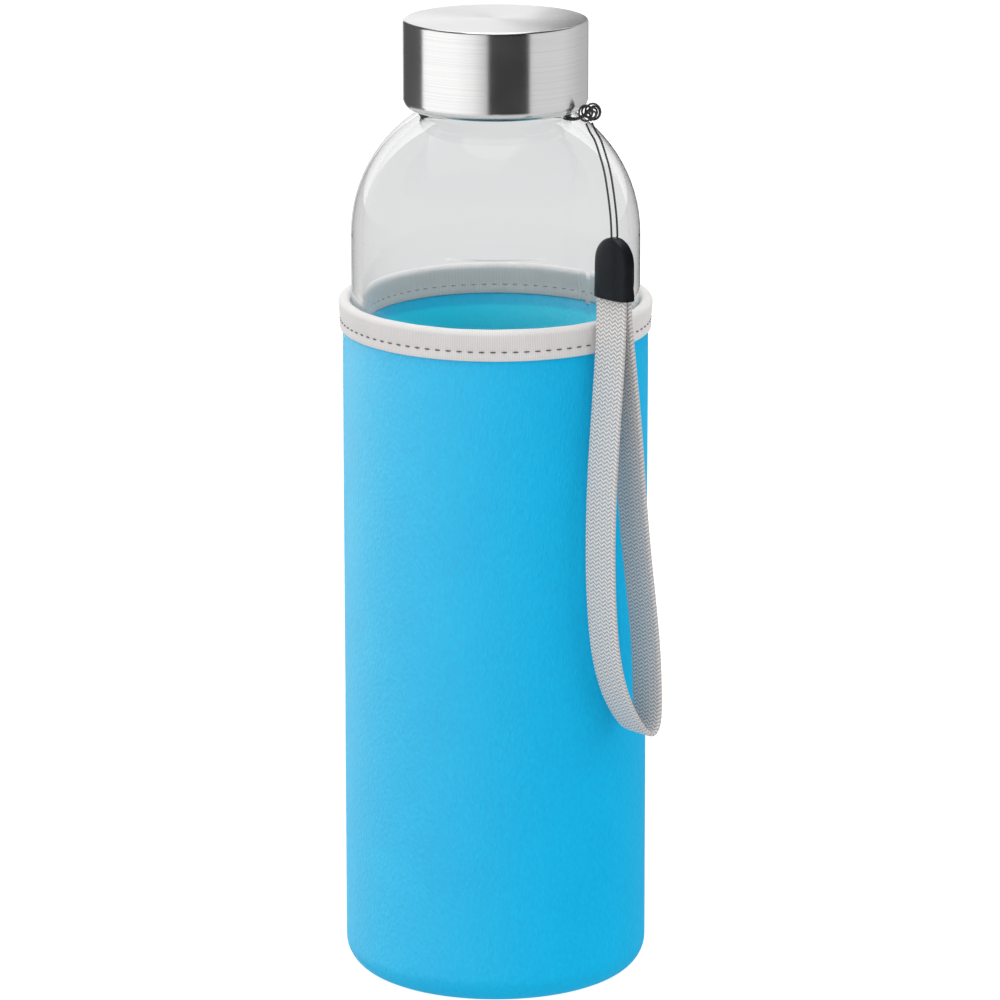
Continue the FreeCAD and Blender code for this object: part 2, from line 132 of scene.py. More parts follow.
# ---- Gasket and cap liner
# A translucent silicone ring seals the mouth. The liner is white polypropylene, moulded with the cap's thread,
# and pressed into the steel cup. Both show a fine moulded grain.
grain_group = bpy.data.node_groups.new("fine grain", "ShaderNodeTree")
for socket_name, socket_kind in (("Place", "NodeSocketVector"), ("Scale", "NodeSocketFloat"),
                                 ("Strength", "NodeSocketFloat"), ("Distance", "NodeSocketFloat")):
    grain_group.interface.new_socket(socket_name, in_out="INPUT", socket_type=socket_kind)
grain_group.interface.new_socket("Normal", in_out="OUTPUT", socket_type="NodeSocketVector")
grain_group.interface.new_socket("Specks", in_out="OUTPUT", socket_type="NodeSocketFloat")
given = add_node(grain_group, "NodeGroupInput").outputs
specks = add_node(grain_group, "ShaderNodeTexNoise", {"Vector": given["Place"], "Scale": given["Scale"],
                                                      "Detail": 3.0})
grain_bump = add_node(grain_group, "ShaderNodeBump", {"Height": specks.outputs["Fac"],
                                                      "Strength": given["Strength"], "Distance": given["Distance"]})
add_node(grain_group, "NodeGroupOutput", {"Normal": grain_bump.outputs["Normal"], "Specks": specks.outputs["Fac"]})


def grain(tree, place, scale, strength, distance):
    """Place the fine grain group in a material: its bump normal, and the value of its specks."""
    group = add_node(tree, "ShaderNodeGroup", node_tree=grain_group)
    tree.links.new(place, group.inputs["Place"])
    for socket, value in (("Scale", scale), ("Strength", strength), ("Distance", distance)):
        group.inputs[socket].default_value = value
    return group.outputs["Normal"], group.outputs["Specks"]


for name, label, colour, dark, scale, rough, shine in (
        ("cap_gasket", "gasket silicone", (0.83, 0.84, 0.83), (0.72, 0.74, 0.73), 900.0, 0.42, 0.35),
        ("cap_liner", "liner polypropylene", (0.86, 0.86, 0.84), (0.78, 0.78, 0.76), 1600.0, 0.38, 0.5)):
    material, tree, shader = new_material(label, colour, Roughness=rough, Subsurface_Weight=0.15,
                                          Subsurface_Scale=0.001, Specular_IOR_Level=shine)
    place = add_node(tree, "ShaderNodeTexCoord").outputs["Object"]
    normal, specks = grain(tree, place, scale, 0.3, 0.00004)
    tree.links.new(colour_ramp(tree, specks, (0.3, dark), (0.7, colour)), shader.inputs["Base Color"])
    tree.links.new(normal, shader.inputs["Normal"])
    finish_node(name, material)


# ---- Cap shell
# A deep-drawn stainless steel cup, brushed while it turned, so that every scratch runs round the cap's axis.
# Its lower edge is rolled in and stays duller than the wall.
steel_material, tree, shader = new_material("brushed steel", (0.74, 0.74, 0.735), Metallic=1.0, Roughness=0.24,
                                            Anisotropic=0.75, Anisotropic_Rotation=0.25)
place = add_node(tree, "ShaderNodeTexCoord").outputs["Object"]
across = add_node(tree, "ShaderNodeSeparateXYZ", {"Vector": place})
round_axis = add_node(tree, "ShaderNodeVectorMath", {0: place, 1: (1.0, 1.0, 0.0)}, operation="MULTIPLY")
radius = add_node(tree, "ShaderNodeVectorMath", {0: round_axis.outputs["Vector"]}, operation="LENGTH")
lathe_place = add_node(tree, "ShaderNodeCombineXYZ", {"X": radius.outputs["Value"], "Z": across.outputs["Z"]})
turned = add_node(tree, "ShaderNodeVectorMath", {0: place, 1: (22.0, 22.0, 0.0)}, operation="MULTIPLY")
lathe_line = add_node(tree, "ShaderNodeVectorMath", {0: lathe_place.outputs["Vector"], "Scale": 9000.0},
                      operation="SCALE")
scratch_place = add_node(tree, "ShaderNodeVectorMath", {0: lathe_line.outputs["Vector"],
                                                        1: turned.outputs["Vector"]}, operation="ADD")
scratches = add_node(tree, "ShaderNodeTexNoise", {"Vector": scratch_place.outputs["Vector"], "Scale": 1.0,
                                                  "Detail": 1.0, "Roughness": 0.5})
smudges = add_node(tree, "ShaderNodeTexNoise", {"Vector": place, "Scale": 70.0, "Detail": 2.0})
steel_rough = add_node(tree, "ShaderNodeMapRange", {"Value": smudges.outputs["Fac"], "From Min": 0.3,
                                                    "From Max": 0.7, "To Min": 0.19, "To Max": 0.24})
steel_bump = add_node(tree, "ShaderNodeBump", {"Height": scratches.outputs["Fac"], "Strength": 0.1,
                                               "Distance": 0.00003})
steel_turn = add_node(tree, "ShaderNodeTangent", direction_type="RADIAL", axis="Z")
tree.links.new(colour_ramp(tree, scratches.outputs["Fac"], (0.3, (0.7, 0.7, 0.7)), (0.7, (0.78, 0.78, 0.775))),
               shader.inputs["Base Color"])
tree.links.new(steel_rough.outputs["Result"], shader.inputs["Roughness"])
tree.links.new(steel_bump.outputs["Normal"], shader.inputs["Normal"])
tree.links.new(steel_turn.outputs["Tangent"], shader.inputs["Tangent"])
finish_node("cap_shell", steel_material)


# ---- Sleeve wall
# A 1.7 mm sheet of neoprene foam with blue polyester jersey bonded to both faces, wrapped into a tube and butted
# at one seam at the back. It is stretched over the glass, and turned in at the bottom with a soft corner.
def rim_lift(angle):
    """How far the rim rises at a bearing: the sleeve is pulled up a little further at the back."""
    return 0.0007 * (1 + math.cos(angle - camera_azimuth - math.pi / 2))


def add_piece(name, bm, material, body, merge=0.0):
    """Object from a bmesh, closed, smooth and facing outwards, riding on a body and finished from a slot."""
    if merge:
        bmesh.ops.remove_doubles(bm, verts=bm.verts, dist=merge)
    bmesh.ops.recalc_face_normals(bm, faces=bm.faces)
    mesh = bpy.data.meshes.new(name)
    bm.to_mesh(mesh)
    bm.free()
    mesh.polygons.foreach_set("use_smooth", [True] * len(mesh.polygons))
    mesh.materials.append(material)
    piece = bpy.data.objects.new(name, mesh)
    bpy.context.collection.objects.link(piece)
    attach(piece, body)
    return piece


def arc(centre, radius, first, last, steps):
    """Points of an arc in the (radius, height) plane, from one angle to another in degrees."""
    turns = [math.radians(first + (last - first) * step / steps) for step in range(steps + 1)]
    return [(centre[0] + radius * math.cos(turn), centre[1] + radius * math.sin(turn)) for turn in turns]


def straight(start, end, steps):
    """Points between two places in the (radius, height) plane, without the places themselves."""
    return [(start[0] + (end[0] - start[0]) * step / steps, start[1] + (end[1] - start[1]) * step / steps)
            for step in range(1, steps)]


def spun(bm, outline, steps, start=0.0):
    """Spin a closed (radius, height) outline once round the bottle's axis, from a bearing."""
    turn_x, turn_y = math.cos(start), math.sin(start)
    ring = [bm.verts.new((radius * turn_x, radius * turn_y, height)) for radius, height in outline]
    edges = [bm.edges.new(pair) for pair in zip(ring, ring[1:] + ring[:1])]
    bmesh.ops.spin(bm, geom=ring + edges, cent=(0, 0, 0), axis=(0, 0, 1), angle=math.tau, steps=steps,
                   use_merge=True)


def jersey(name, lit, shade, painted_light_lining):
    """Knitted jersey bonded to foam: fine rows of loops, faint mottling and a soft sheen; the inner face from 12 mm
    up is a flat lighter blue, painted light inside the sleeve.
    """
    material, tree, shader = new_material(name, lit, Roughness=0.72, Sheen_Weight=0.02, Sheen_Roughness=0.4,
                                          Specular_IOR_Level=0.1)
    shader.inputs["Sheen Tint"].default_value = (0.8, 0.93, 1.0, 1)
    place = add_node(tree, "ShaderNodeTexCoord").outputs["Object"]
    loops = add_node(tree, "ShaderNodeMapping", {"Vector": place, "Scale": (1.0, 1.0, 0.35)})
    knit = add_node(tree, "ShaderNodeTexVoronoi", {"Vector": loops.outputs["Vector"], "Scale": 2600.0})
    slubs = add_node(tree, "ShaderNodeMapping", {"Vector": place, "Scale": (1.0, 1.0, 0.6)})
    slub = add_node(tree, "ShaderNodeTexNoise", {"Vector": slubs.outputs["Vector"], "Scale": 1300.0, "Detail": 3.0})
    cloud = add_node(tree, "ShaderNodeTexNoise", {"Vector": place, "Scale": 55.0, "Detail": 3.0})
    mottle = add_node(tree, "ShaderNodeMix", {"Factor": 0.35, "A": slub.outputs["Fac"],
                                              "B": cloud.outputs["Fac"]}, data_type="FLOAT")
    height = add_node(tree, "ShaderNodeMix", {"Factor": 0.5, "A": knit.outputs["Distance"],
                                              "B": slub.outputs["Fac"]}, data_type="FLOAT")
    bump = add_node(tree, "ShaderNodeBump", {"Height": height.outputs["Result"], "Strength": 0.7,
                                             "Distance": 0.00025})
    flat_place = add_node(tree, "ShaderNodeVectorMath", {0: place, 1: (1.0, 1.0, 0.0)}, operation="MULTIPLY")
    reach = add_node(tree, "ShaderNodeVectorMath", {0: flat_place.outputs["Vector"]}, operation="LENGTH")
    # Painted light: the inner face from 12 mm up takes a flat lighter blue, standing in for light that reaches the
    # inside of the sleeve through the glass.
    inside = add_node(tree, "ShaderNodeMapRange", {"Value": reach.outputs["Value"], "From Min": 0.0336,
                                                   "From Max": 0.0329})
    apart = add_node(tree, "ShaderNodeSeparateXYZ", {"Vector": place})
    raised = add_node(tree, "ShaderNodeMapRange", {"Value": apart.outputs["Z"], "From Min": 0.012, "From Max": 0.02})
    painted_light_mask = add_node(tree, "ShaderNodeMath", {0: inside.outputs["Result"], 1: raised.outputs["Result"]},
                     operation="MULTIPLY")
    faces = add_node(tree, "ShaderNodeMix", {"Factor": painted_light_mask.outputs["Value"]}, data_type="RGBA")
    first_colour, painted_light_colour, mixed_colour = faces.inputs[6], faces.inputs[7], faces.outputs[2]
    tree.links.new(colour_ramp(tree, mottle.outputs["Result"], (0.3, shade), (0.7, lit)), first_colour)
    painted_light_colour.default_value = (*painted_light_lining, 1)
    tree.links.new(mixed_colour, shader.inputs["Base Color"])
    tree.links.new(bump.outputs["Normal"], shader.inputs["Normal"])
    return material


wall_low, wall_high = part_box("sleeve_wall")
sole_low, sole_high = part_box("sleeve_sole")
sleeve_radius = wall_high.x
neoprene = 0.0017
sleeve_corner = 0.0066
turned_edge = sole_high.x + 0.0001
wall_inside = sleeve_radius - neoprene
wall_under = wall_low.z
binding_low, binding_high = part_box("sleeve_binding")
rim_inside = 0.03335
seam_bearing = math.radians(140)
edge_round = 0.0003
dimple_depth = 0.00009
waist_nip = 0.00008
seam_pucker = 0.00035
seam_half_width = 0.0011

corner_centre = (sleeve_radius - sleeve_corner, wall_under + sleeve_corner)
taper_low, taper_high = binding_low.z - 0.002, binding_low.z - 0.001
outline = arc((turned_edge + edge_round, wall_under + edge_round), edge_round, 180, 270, 3)
outline += straight(outline[-1], (corner_centre[0], wall_under), 2)
outline += arc(corner_centre, sleeve_corner, -90, 0, 12)
outline += straight(outline[-1], (sleeve_radius, taper_low), 40)
outline += [(sleeve_radius, taper_low)]
outline += straight((sleeve_radius, taper_low), (sleeve_radius, wall_high.z), 4)
outline += [(sleeve_radius, wall_high.z), (rim_inside, wall_high.z), (rim_inside, taper_high),
            (wall_inside, taper_low)]
outline += straight((wall_inside, taper_low), (wall_inside, corner_centre[1]), 20)
outline += arc(corner_centre, sleeve_corner - neoprene, 0, -90, 8)
outline += arc((turned_edge + edge_round, wall_under + neoprene - edge_round), edge_round, 90, 180, 3)

bm = bmesh.new()
spun(bm, outline, 300, seam_bearing)
pulls = random.Random(7)
dimples = [(pulls.uniform(0, math.tau), pulls.uniform(0.02, 0.145), pulls.uniform(0.3, 0.9),
            pulls.uniform(0.006, 0.02), pulls.uniform(0.5, 1.0)) for _ in range(26)]
for vertex in bm.verts:
    radius = math.hypot(vertex.co.x, vertex.co.y)
    if radius < sleeve_radius - neoprene * 0.3:
        continue
    bearing = math.atan2(vertex.co.y, vertex.co.x)
    height = vertex.co.z
    fade = min(1, max(0, (height - 0.012) / 0.01)) * min(1, max(0, (taper_low - height) / 0.006))
    sink = 0.0
    for angle, middle, wide, tall, depth in dimples:
        apart = (bearing - angle + math.pi) % math.tau - math.pi
        sink += depth * math.exp(-(apart / wide) ** 2 * 2 - ((height - middle) / tall) ** 2)
    waist = math.exp(-((taper_low - height) / 0.004) ** 2)
    seam = (bearing - seam_bearing + math.pi) % math.tau - math.pi
    pucker = math.exp(-(seam * sleeve_radius / seam_half_width) ** 2)
    pull = fade * sink * dimple_depth + waist * waist_nip + fade * pucker * seam_pucker
    vertex.co.x *= 1 - pull / radius
    vertex.co.y *= 1 - pull / radius

# The last colour is painted light on the sleeve's inner face.
blue_jersey = jersey("neoprene", (0.0, 0.51, 0.88), (0.0, 0.44, 0.8), (0.0, 0.72, 1.0))
wall = add_piece("sleeve_body", bm, blue_jersey, "sleeve", 0.00001)
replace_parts(wall, "sleeve_wall")


# ---- Sleeve sole
# A disc die-cut from the same neoprene, with its cut edge slightly rounded.
# It closes the sleeve, carries the bottle and is stitched to the wall all round.
sole_radius = sole_high.x
sole_round = 0.0003
outline = [(0.0, sole_low.z)]
outline += straight((0, sole_low.z), (sole_radius - sole_round, sole_low.z), 10)
outline += arc((sole_radius - sole_round, sole_low.z + sole_round), sole_round, -90, 0, 4)
outline += arc((sole_radius - sole_round, sole_high.z - sole_round), sole_round, 0, 90, 4)
outline += straight((sole_radius - sole_round, sole_high.z), (0, sole_high.z), 10) + [(0.0, sole_high.z)]
bm = bmesh.new()
chain = [bm.verts.new((radius, 0, height)) for radius, height in outline]
edges = [bm.edges.new(pair) for pair in zip(chain, chain[1:])]
bmesh.ops.spin(bm, geom=chain + edges, cent=(0, 0, 0), axis=(0, 0, 1), angle=math.tau, steps=128, use_merge=True)
sole = add_piece("sleeve_base", bm, blue_jersey, "sleeve", 0.00001)
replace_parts(sole, "sleeve_sole")


# ---- Seam stitches
# The wall's butted edges are closed by a zigzag of blue polyester thread, and the sole is joined by short
# stitches across its seam. Each stitch is a bight of two-ply thread that dives into the fabric at both ends.
def thread_material(name, light, dark):
    """Two-ply polyester thread with a slight gloss on each ply."""
    material, tree, shader = new_material(name, light, Roughness=0.5, Sheen_Weight=0.3)
    place = add_node(tree, "ShaderNodeTexCoord").outputs["Object"]
    normal, plies = grain(tree, place, 6000.0, 0.6, 0.00005)
    tree.links.new(colour_ramp(tree, plies, (0.35, dark), (0.65, light)), shader.inputs["Base Color"])
    tree.links.new(normal, shader.inputs["Normal"])
    return material


def add_stitch(bm, start, end, out, width, height, dive=0.00025):
    """One stitch from a hole to the next, bowed outwards along out, from a short tube of few faces."""
    run = (end - start).normalized()
    side = run.cross(out).normalized()
    around, along = 6, 7
    rings = []
    for number in range(along):
        share = number / (along - 1)
        bow = math.sin(math.pi * share) ** 0.6
        centre = start.lerp(end, share) + out * (height * 0.45 * bow - dive * (1 - bow))
        plump = 0.55 + 0.45 * bow
        ring = []
        for step in range(around):
            angle = math.tau * (step + 0.35 * number) / around
            ring.append(bm.verts.new(centre + side * math.cos(angle) * width / 2 * plump
                                     + out * math.sin(angle) * height / 2 * plump))
        rings.append([bm.edges.new(pair) for pair in zip(ring, ring[1:] + ring[:1])])
    for first, second in zip(rings, rings[1:]):
        bmesh.ops.bridge_loops(bm, edges=first + second)
    for loop in (rings[0], rings[-1]):
        bmesh.ops.edgeloop_fill(bm, edges=loop)


def bearing_point(radius, bearing, height):
    return Vector((radius * math.cos(bearing), radius * math.sin(bearing), height))


stitch_width = 0.00034
stitch_height = 0.00025
blue_thread = thread_material("blue thread", (0.01, 0.36, 0.6), (0.004, 0.2, 0.38))
zigzag_low, zigzag_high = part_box("side_seam_stitches")
zigzag_pitch = 0.003
zigzag_half = 0.0016 / sleeve_radius
bm = bmesh.new()
for number in range(round((zigzag_high.z - zigzag_low.z) / zigzag_pitch)):
    foot = zigzag_low.z + number * zigzag_pitch
    side = -1 if number % 2 else 1
    start = bearing_point(sleeve_radius - 0.00015, seam_bearing - side * zigzag_half, foot + 0.0002)
    end = bearing_point(sleeve_radius - 0.00015, seam_bearing + side * zigzag_half, foot + zigzag_pitch - 0.0002)
    add_stitch(bm, start, end, bearing_point(1, seam_bearing, 0), stitch_width, stitch_height)
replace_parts(add_piece("side_seam_thread", bm, blue_thread, "sleeve"), "side_seam_stitches")

sole_stitches = 65
bm = bmesh.new()
for number in range(sole_stitches):
    bearing = math.tau * number / sole_stitches
    start = bearing_point(sole_radius - 0.0001, bearing, wall_under)
    end = bearing_point(sole_radius + 0.0015, bearing + 0.012, wall_under)
    add_stitch(bm, start, end, Vector((0, 0, -1)), stitch_width, stitch_height, 0.0002)
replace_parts(add_piece("sole_seam_thread", bm, blue_thread, "sleeve"), "sole_seam_stitches")


# ---- Sleeve binding
# A pale grey ribbed knit tape folded over the raw rim. It makes a fat roll on top, and is pinched flat where the
# stitches hold both its leaves against the neoprene. Its ends overlap at the side seam.
def rib_material(name, light, dark):
    """Ribbed knit: upright wales about half a millimetre apart with a soft, slightly fuzzy face."""
    material, tree, shader = new_material(name, light, Roughness=0.85, Sheen_Weight=0.35, Sheen_Roughness=0.5,
                                          Specular_IOR_Level=0.25)
    place = add_node(tree, "ShaderNodeTexCoord").outputs["Object"]
    wales = add_node(tree, "ShaderNodeUVMap", uv_map="pattern")
    wave = add_node(tree, "ShaderNodeTexWave", {"Vector": wales.outputs["UV"], "Scale": 6.3, "Distortion": 0.8,
                                                "Detail": 2.0, "Detail Scale": 2.0},
                    wave_type="BANDS", bands_direction="X")
    normal, fuzz = grain(tree, place, 4200.0, 0.35, 0.00006)
    stain = add_node(tree, "ShaderNodeTexNoise", {"Vector": place, "Scale": 130.0, "Detail": 3.0})
    weave = add_node(tree, "ShaderNodeMix", {"Factor": 0.5, "A": wave.outputs["Fac"], "B": fuzz}, data_type="FLOAT")
    shaded = add_node(tree, "ShaderNodeMix", {"Factor": 0.3, "A": weave.outputs["Result"],
                                              "B": stain.outputs["Fac"]}, data_type="FLOAT")
    bump = add_node(tree, "ShaderNodeBump", {"Height": wave.outputs["Fac"], "Strength": 0.5, "Distance": 0.00008,
                                             "Normal": normal})
    tree.links.new(colour_ramp(tree, shaded.outputs["Result"], (0.25, dark), (0.7, light)),
                   shader.inputs["Base Color"])
    tree.links.new(bump.outputs["Normal"], shader.inputs["Normal"])
    return material


roll_outer = binding_high.x
roll_radius = 0.0013
fold_outer = sleeve_radius + 0.0006
fold_inner = 0.0329
leaf = 0.00055
stitch_line = binding_low.z + 0.0021
outer_stitches, inner_stitches = 88, 82
stitch_nip = 0.00008
roll_puff = 0.00003
roll_centre = (roll_outer - roll_radius, binding_high.z - roll_radius)
outer_under, inner_over = fold_outer - leaf, rim_inside - 0.00005
outline = arc((fold_outer - leaf / 2, binding_low.z + leaf / 2), leaf / 2, 180, 360, 6)
outline += [(fold_outer + 0.00002, stitch_line - 0.0011), (fold_outer - 0.00006, stitch_line - 0.0004),
            (fold_outer - 0.0001, stitch_line), (fold_outer - 0.00002, stitch_line + 0.0005)]
outline += [(fold_outer + 0.0001, stitch_line + 0.0012), (roll_outer - 0.00008, roll_centre[1] - 0.0008)]
outline += arc(roll_centre, roll_radius, 0, 180, 18)
outline += [(roll_centre[0] - roll_radius + 0.00003, roll_centre[1] - 0.0008),
            (fold_inner + 0.00002, stitch_line + 0.0009), (fold_inner + 0.0001, stitch_line),
            (fold_inner + 0.00004, stitch_line - 0.0005)]
outline += arc(((fold_inner + inner_over) / 2, binding_low.z + 0.0002), (inner_over - fold_inner) / 2, 180, 360, 4)
outline += [(inner_over, wall_high.z + 0.00005), (outer_under, wall_high.z + 0.00005)]
bm = bmesh.new()
wales = bm.loops.layers.uv.new("pattern")
spun(bm, outline, 264, seam_bearing)
for vertex in bm.verts:
    bearing = math.atan2(vertex.co.y, vertex.co.x)
    radius = math.hypot(vertex.co.x, vertex.co.y)
    above = max(0, vertex.co.z - stitch_line) / (binding_high.z - stitch_line)
    nip = 0.5 + 0.5 * math.cos(bearing * outer_stitches)
    pinch = math.exp(-((vertex.co.z - stitch_line) / 0.0007) ** 2) * stitch_nip * nip
    if radius > fold_outer - 0.0003:
        vertex.co.x *= 1 - pinch / radius
        vertex.co.y *= 1 - pinch / radius
    puff = above * roll_puff * (math.sin(bearing * 9 + 0.7) + 0.6 * math.sin(bearing * 23 + 2.1))
    vertex.co.z += rim_lift(bearing) + puff
for face in bm.faces:
    middle = math.atan2(face.calc_center_median().y, face.calc_center_median().x)
    for loop in face.loops:
        bearing = math.atan2(loop.vert.co.y, loop.vert.co.x)
        bearing = middle + ((bearing - middle + math.pi) % math.tau - math.pi)
        loop[wales].uv = (bearing * fold_outer * 1000 / 8, loop.vert.co.z * 1000 / 8)
rib_knit = rib_material("binding knit", (0.79, 0.77, 0.76), (0.62, 0.6, 0.59))
binding = add_piece("rim_binding", bm, rib_knit, "sleeve", 0.000005)
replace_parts(binding, "sleeve_binding")


# ---- Binding stitches
# One row of lockstitch through both leaves of the binding: dark grey needle thread outside and paler bobbin
# thread inside.
grey_thread = thread_material("grey thread", (0.16, 0.14, 0.145), (0.05, 0.045, 0.05))
pale_thread = thread_material("pale bobbin thread", (0.46, 0.44, 0.44), (0.28, 0.26, 0.26))
stitch_length = 0.00135
for name, label, thread, radius, direction, count in (
        ("binding_outer_stitches", "needle_thread", grey_thread, fold_outer - 0.00012, 1, outer_stitches),
        ("binding_inner_stitches", "bobbin_thread", pale_thread, fold_inner + 0.00012, -1, inner_stitches)):
    bm = bmesh.new()
    for number in range(count):
        bearing = math.tau * number / count
        half = stitch_length / 2 / radius
        height = stitch_line + rim_lift(bearing)
        add_stitch(bm, bearing_point(radius, bearing - half, height), bearing_point(radius, bearing + half, height),
                   bearing_point(direction, bearing, 0), stitch_width, stitch_height, 0.0001)
    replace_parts(add_piece(label, bm, thread, "sleeve"), name)


# ---- Neck cord and hitch
# The strap hangs on a thin waxed cord of three plies. Doubled, it runs twice round the neck under the cap's lip
# and is hitched to itself beside the cap: small tight loops round its own two leads.
def smooth_line(name, route, step, closed=False):
    """Points a step apart or closer along the NURBS spline that takes a route as its control points."""
    curve = bpy.data.curves.new(name, "CURVE")
    curve.dimensions = "3D"
    spline = curve.splines.new("NURBS")
    spline.points.add(len(route) - 1)
    for point, position in zip(spline.points, route):
        point.co = (*position, 1)
    spline.order_u = 3
    if closed:
        spline.use_cyclic_u = True
    else:
        spline.use_endpoint_u = True
    longest = max((Vector(b) - Vector(a)).length for a, b in zip(route, route[1:]))
    curve.resolution_u = max(4, math.ceil(longest / step))
    holder = bpy.data.objects.new(name, curve)
    line = bpy.data.meshes.new_from_object(holder)
    points = [vertex.co.copy() for vertex in line.vertices]
    bpy.data.objects.remove(holder)
    bpy.data.meshes.remove(line)
    return points


def along_line(points, count):
    """Evenly spaced (place, direction, distance) samples of a line of points."""
    lengths = [0.0]
    for a, b in zip(points, points[1:]):
        lengths.append(lengths[-1] + (b - a).length)
    samples = []
    leg = 0
    for number in range(count):
        distance = lengths[-1] * number / (count - 1)
        while leg < len(points) - 2 and lengths[leg + 1] < distance:
            leg += 1
        run = points[leg + 1] - points[leg]
        share = (distance - lengths[leg]) / run.length
        samples.append((points[leg] + run * share, run.normalized(), distance))
    return samples


def wrapped_tube(bm, rings, around, place):
    """Closed tube from a grid rolled up: place(ring, turn) gives a point, turn going from 0 to 1 round a ring."""
    uv = bm.loops.layers.uv.get("pattern") or bm.loops.layers.uv.new("pattern")
    old = set(bm.faces)
    made = bmesh.ops.create_grid(bm, x_segments=rings - 1, y_segments=around, size=1)["verts"]
    shares = {}
    for vertex in made:
        ring = round((vertex.co.x + 1) / 2 * (rings - 1))
        turn = (vertex.co.y + 1) / 2
        shares[vertex] = (ring / (rings - 1), turn)
        vertex.co = place(ring, turn)
    for face in set(bm.faces) - old:
        for loop in face.loops:
            loop[uv].uv = shares[loop.vert]
    bmesh.ops.remove_doubles(bm, verts=made, dist=0.000002)
    rim = [edge for edge in bm.edges if edge.is_boundary]
    bmesh.ops.holes_fill(bm, edges=rim, sides=0)


def twisted_cord(bm, line, diameter, plies=3, twist=0.0022):
    """Cord of plies laid round each other along a line of points."""
    ply_radius = diameter * 0.29
    lay_radius = diameter / 2 - ply_radius
    length = sum((b - a).length for a, b in zip(line, line[1:]))
    samples = along_line(line, max(24, round(length / (twist / 9))))
    side = samples[0][1].orthogonal().normalized()
    frames = []
    for position, direction, distance in samples:
        side = (side - direction * side.dot(direction)).normalized()
        frames.append((position, side, direction.cross(side), distance))
    for ply in range(plies):
        def ply_point(ring, turn):
            position, side, other, distance = frames[ring]
            lay = math.tau * (distance / twist + ply / plies)
            centre = position + (side * math.cos(lay) + other * math.sin(lay)) * lay_radius
            angle = math.tau * turn
            return centre + (side * math.cos(angle) + other * math.sin(angle)) * ply_radius
        wrapped_tube(bm, len(frames), 7, ply_point)


cord_diameter = 0.0005
cord_material, tree, shader = new_material("waxed cord", (0.03, 0.03, 0.033), Roughness=0.5)
place = add_node(tree, "ShaderNodeTexCoord").outputs["Object"]
normal, fibres = grain(tree, place, 9000.0, 0.3, 0.00003)
tree.links.new(colour_ramp(tree, fibres, (0.3, (0.022, 0.022, 0.025)), (0.7, (0.075, 0.076, 0.082))),
               shader.inputs["Base Color"])
tree.links.new(normal, shader.inputs["Normal"])

neck_low, neck_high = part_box("neck_cord")
bm = bmesh.new()
for height in (neck_low.z + cord_diameter / 2, neck_high.z - cord_diameter / 2):
    ring = [bearing_point(neck_high.x - cord_diameter / 2, math.tau * number / 96, height) for number in range(97)]
    twisted_cord(bm, ring, cord_diameter)
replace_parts(add_piece("neck_turns", bm, cord_material, "neck_loop"), "neck_cord")

knot = bearing_point(0.02275, math.radians(25), 0.20046)


def knot_place(right, toward, up):
    """Point near the knot, in millimetres, set out as the camera stands: to its right, towards it and up."""
    return knot + studio_place(right, toward, up) * 0.001


def hitch_loop(middle, wide, tall, lean):
    """Route of one tight loop of the hitch: its middle, its half width and height, and how far its foot leans out."""
    points = []
    for number in range(10):
        turn = math.tau * number / 10
        across, up = math.sin(turn), math.cos(turn)
        points.append(knot_place(middle[0] + wide * across, middle[1] - lean * up + 0.25 * across,
                                 middle[2] + tall * up))
    return points


bm = bmesh.new()
for middle, wide, tall, lean in (
        ((-0.75, 1.35, 0.0), 1.5, 1.75, 0.5),
        ((-0.35, 0.75, 0.25), 1.25, 1.35, -0.3),
        ((0.9, 0.8, 0.25), 1.75, 1.8, 0.55),
        ((1.25, 0.2, 0.0), 1.2, 1.5, -0.2)):
    line = smooth_line("hitch_loop", hitch_loop(middle, wide, tall, lean), 0.0003, True)
    twisted_cord(bm, line + line[:1], cord_diameter)
hitch_leads = [
    [(-5.6, -0.9, -1.55), (-4.2, 0.3, -1.7), (-2.8, 1.1, -1.5), (-1.4, 1.5, -0.9), (-0.2, 1.7, 0.2), (0.9, 1.5, 0.7),
     (1.7, 1.2, -0.1), (1.2, 1.5, -1.1), (0.3, 1.9, -1.6)],
    [(-5.2, -1.7, -1.3), (-3.6, -0.4, -1.5), (-2.1, 0.4, -1.2), (-0.8, 0.6, -0.2), (0.2, 0.5, 1.0), (1.4, 0.3, 1.1),
     (2.0, 0.5, 0.0), (1.3, 1.1, -1.0), (0.2, 1.6, -1.5)],
]
for lead in hitch_leads:
    line = smooth_line("hitch_lead", [knot_place(*offset) for offset in lead], 0.0003)
    twisted_cord(bm, line, cord_diameter)
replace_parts(add_piece("hitch", bm, cord_material, "neck_loop"), "cord_hitch")


# ---- Strap cord: two strands
# Both strands of the waxed cord leave the hitch together, bow out over the shoulder and drop straight into the
# clamp's two bores.
strand_spacing = 0.0017
swing_pivot = Vector((0.0227, 0.0079, 0.1985))
strand_route = [
    (0.0, 0.0, 0.0),
    (0.0009, 0.0001, -0.0016),
    (0.0030, -0.0001, -0.0031),
    (0.0061, -0.0017, -0.0050),
    (0.0106, -0.0039, -0.0084),
    (0.0140, -0.0059, -0.0122),
    (0.0166, -0.0074, -0.0161),
    (0.0179, -0.0082, -0.0190),
    (0.0183, -0.0084, -0.0218),
    (0.0183, -0.00845, -0.0246),
]
for side, name, label in ((-1, "cord_strand_left", "strand_left"), (1, "cord_strand_right", "strand_right")):
    start = swing_pivot + Vector((0, side * strand_spacing / 2, 0))
    line = smooth_line(label, [start + Vector(offset) for offset in strand_route], 0.0003)
    bm = bmesh.new()
    twisted_cord(bm, line, cord_diameter)
    strand = add_piece(label, bm, cord_material, "strap")
    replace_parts(strand, name)


